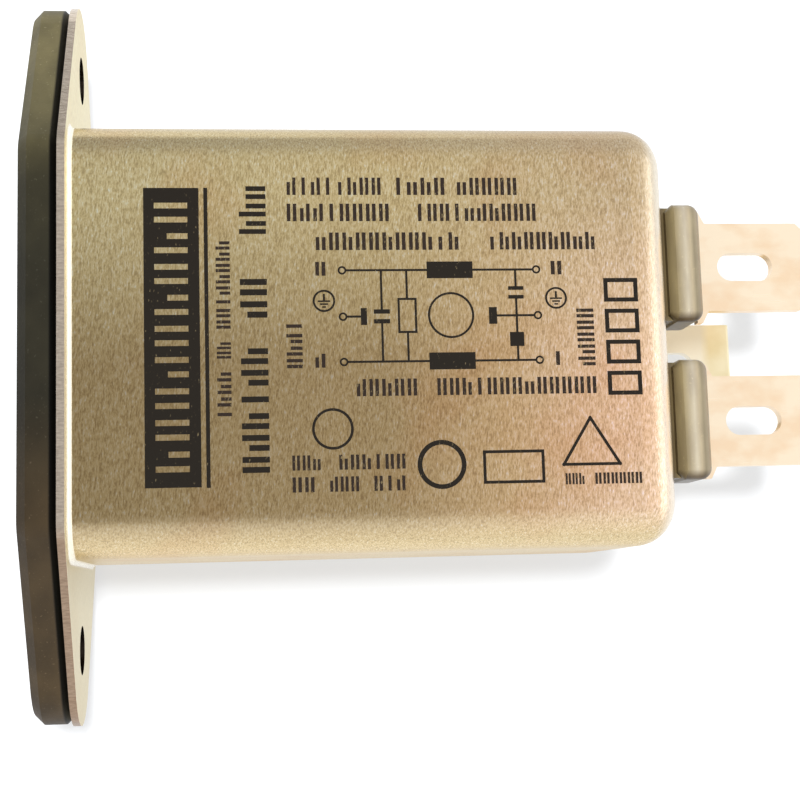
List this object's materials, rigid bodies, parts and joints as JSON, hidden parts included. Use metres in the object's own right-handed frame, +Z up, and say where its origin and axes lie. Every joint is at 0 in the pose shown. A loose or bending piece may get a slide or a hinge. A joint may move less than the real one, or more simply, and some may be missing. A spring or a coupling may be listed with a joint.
{
  "type": "mains inlet line filter",
  "caption": "Panel-mounted mains inlet with a line filter in a drawn, tin-plated steel case, eared flange, moulded socket and flat rear tabs.",
  "frame": {"origin": "midway between the two fixing holes, on the back face of the flange", "axes": "+X from the flange towards the rear tabs, +Y along the flange through the fixing holes, +Z up through the wide face of the case"},
  "size_m": [0.0545, 0.05, 0.0226],
  "materials": {
    "tin_plated_steel": "satin, fine drawn grain",
    "black_thermoplastic": "moulded, fine matt texture",
    "plated_pin_brass": "nickel plated, smooth",
    "tinned_tab_brass": "tin plated, warm, slightly dull",
    "grey_bushing_moulding": "moulded, semi-gloss grey",
    "tinned_earth_tab": "tin plated, slightly dull",
    "insulating_card": "thin pressed insulation sheet",
    "coated_ferrite": "epoxy coated",
    "divider_moulding": "moulded",
    "enamelled_copper": "enamelled wire",
    "film_capacitor_box": "moulded box",
    "tinned_wire": "bright tinned wire",
    "disc_capacitor_coating": "dipped epoxy",
    "resistor_coating": "lacquered",
    "tinned_strap": "tin plated strip"
  },
  "bodies": {
    "root": {"housing_can": "tin_plated_steel", "inlet_body": "black_thermoplastic", "line_pin": "plated_pin_brass", "neutral_pin": "plated_pin_brass", "earth_pin": "plated_pin_brass", "line_load_tab": "tinned_tab_brass", "neutral_load_tab": "tinned_tab_brass", "line_bushing": "grey_bushing_moulding", "neutral_bushing": "grey_bushing_moulding", "earth_tab": "tinned_earth_tab", "insulating_liner": "insulating_card", "choke_core": "coated_ferrite", "choke_divider": "divider_moulding", "line_winding": "enamelled_copper", "neutral_winding": "enamelled_copper", "x_capacitor": "film_capacitor_box", "x_capacitor_leads": "tinned_wire", "line_y_capacitor": "disc_capacitor_coating", "neutral_y_capacitor": "disc_capacitor_coating", "line_y_capacitor_leads": "tinned_wire", "neutral_y_capacitor_leads": "tinned_wire", "bleed_resistor": "resistor_coating", "bleed_resistor_leads": "tinned_wire", "earth_strap": "tinned_strap"}
  },
  "joints": []
}
